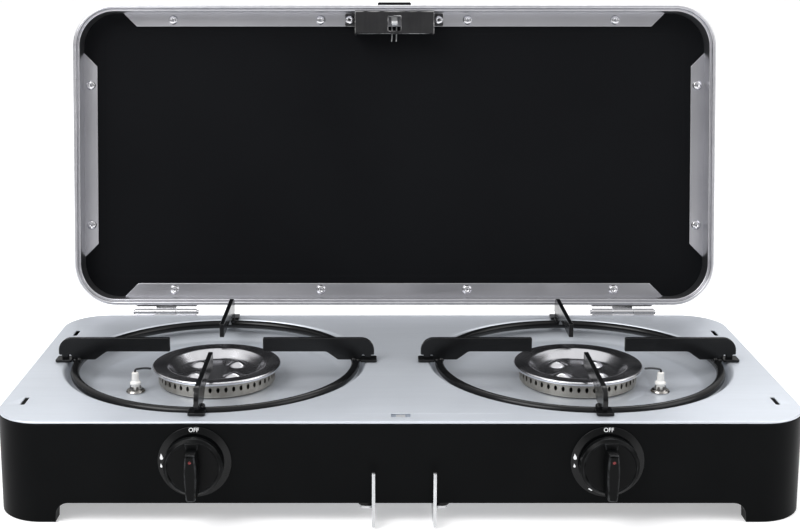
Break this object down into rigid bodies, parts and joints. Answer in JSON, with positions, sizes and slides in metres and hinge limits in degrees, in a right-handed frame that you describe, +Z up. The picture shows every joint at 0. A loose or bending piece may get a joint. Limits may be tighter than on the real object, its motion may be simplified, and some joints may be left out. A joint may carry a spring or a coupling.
{
  "type": "camping stove",
  "caption": "Two-burner gas camping stove: black sheet casing on integral feet, satin plate with dished wells, lift-off pan supports, turning knobs and a hinged lid with a latch.",
  "frame": {"origin": "on the floor, under the middle of the open stove's bounding box", "axes": "+X along the width to the right of a cook facing the knobs, +Y to the back, +Z up"},
  "size_m": [0.56, 0.3548, 0.3405],
  "materials": {
    "black_paint": "smooth satin black paint on sheet steel",
    "black_lid_paint": "matt black paint on thin sheet",
    "satin_steel": "satin, cool silver grey",
    "latch_steel": "brushed stainless sheet",
    "satin_aluminium": "satin anodised extrusion",
    "mirror_steel": "polished stainless pressing",
    "burner_steel": "stainless strip, lightly brushed",
    "chrome": "bright plated",
    "bright_steel": "zinc plated steel",
    "plain_steel": "plain steel tube",
    "brass": "machined brass",
    "black_enamel": "black enamel on steel rod and strip",
    "black_plastic": "moulded black plastic",
    "knob_plastic": "moulded black knob plastic, fine grain",
    "white_ceramic": "glazed white ceramic",
    "white_sleeve": "white silicone lead sleeve"
  },
  "bodies": {
    "base": {"base_shell": "black_paint", "top_plate": "satin_steel", "gas_pipe": "plain_steel", "hose_nozzle": "brass", "burner_cup_left": "burner_steel", "burner_cap_left": "mirror_steel", "mixing_tube_left": "plain_steel", "valve_body_left": "brass", "jet_left": "brass", "electrode_left": "white_ceramic", "electrode_nut_left": "chrome", "electrode_tip_left": "bright_steel", "igniter_left": "black_plastic", "ignition_lead_left": "white_sleeve", "dial_plate_left": "black_plastic", "hinge_leaf_base_left": "chrome", "hinge_pin_left": "chrome", "front_hook_left": "bright_steel", "hook_pad_left": "black_plastic", "burner_cup_right": "burner_steel", "burner_cap_right": "mirror_steel", "mixing_tube_right": "plain_steel", "valve_body_right": "brass", "jet_right": "brass", "electrode_right": "white_ceramic", "electrode_nut_right": "chrome", "electrode_tip_right": "bright_steel", "igniter_right": "black_plastic", "ignition_lead_right": "white_sleeve", "dial_plate_right": "black_plastic", "hinge_leaf_base_right": "chrome", "hinge_pin_right": "chrome", "front_hook_right": "bright_steel", "hook_pad_right": "black_plastic"},
    "lid": {"lid_frame": "satin_aluminium", "lid_panel": "black_lid_paint", "latch_bracket": "latch_steel", "latch_spring": "bright_steel", "hinge_leaf_lid_left": "chrome", "hinge_leaf_lid_right": "chrome"},
    "latch": {"latch_hook": "bright_steel", "latch_tab": "black_plastic"},
    "push_left": {"push_collar_left": "plain_steel"},
    "knob_left": {"knob_left": "knob_plastic", "valve_stem_left": "brass"},
    "pan_support_left": {"pan_ring_left": "black_enamel", "pan_arm_left_right": "black_enamel", "pan_arm_left_back": "black_enamel", "pan_arm_left_left": "black_enamel", "pan_arm_left_front": "black_enamel"},
    "push_right": {"push_collar_right": "plain_steel"},
    "knob_right": {"knob_right": "knob_plastic", "valve_stem_right": "brass"},
    "pan_support_right": {"pan_ring_right": "black_enamel", "pan_arm_right_right": "black_enamel", "pan_arm_right_back": "black_enamel", "pan_arm_right_left": "black_enamel", "pan_arm_right_front": "black_enamel"}
  },
  "joints": [
    {"name": "lid_fold", "type": "hinge", "parent": "base", "child": "lid", "pos_m": [0, 0.11557, 0.073], "axis": [1, 0, 0], "range_deg": [0, 98]},
    {"name": "latch_pull", "type": "slide", "parent": "lid", "child": "latch", "axis": [0, 0.1392, 0.9903], "range_m": [0, 0.004], "stiffness_N_per_m": 300, "springref_m": -0.002},
    {"name": "knob_push_left", "type": "slide", "parent": "base", "child": "push_left", "axis": [0, 1, 0], "range_m": [0, 0.003], "stiffness_N_per_m": 800, "springref_m": -0.002},
    {"name": "knob_turn_left", "type": "hinge", "parent": "push_left", "child": "knob_left", "pos_m": [-0.14, -0.15243, 0.044], "axis": [0, -1, 0], "range_deg": [0, 150]},
    {"name": "knob_push_right", "type": "slide", "parent": "base", "child": "push_right", "axis": [0, 1, 0], "range_m": [0, 0.003], "stiffness_N_per_m": 800, "springref_m": -0.002},
    {"name": "knob_turn_right", "type": "hinge", "parent": "push_right", "child": "knob_right", "pos_m": [0.14, -0.15243, 0.044], "axis": [0, -1, 0], "range_deg": [0, 150]},
    {"name": "pan_lift_left", "type": "slide", "parent": "base", "child": "pan_support_left", "axis": [0, 0, -1], "range_m": [-0.06, 0]},
    {"name": "pan_lift_right", "type": "slide", "parent": "base", "child": "pan_support_right", "axis": [0, 0, -1], "range_m": [-0.06, 0]}
  ]
}
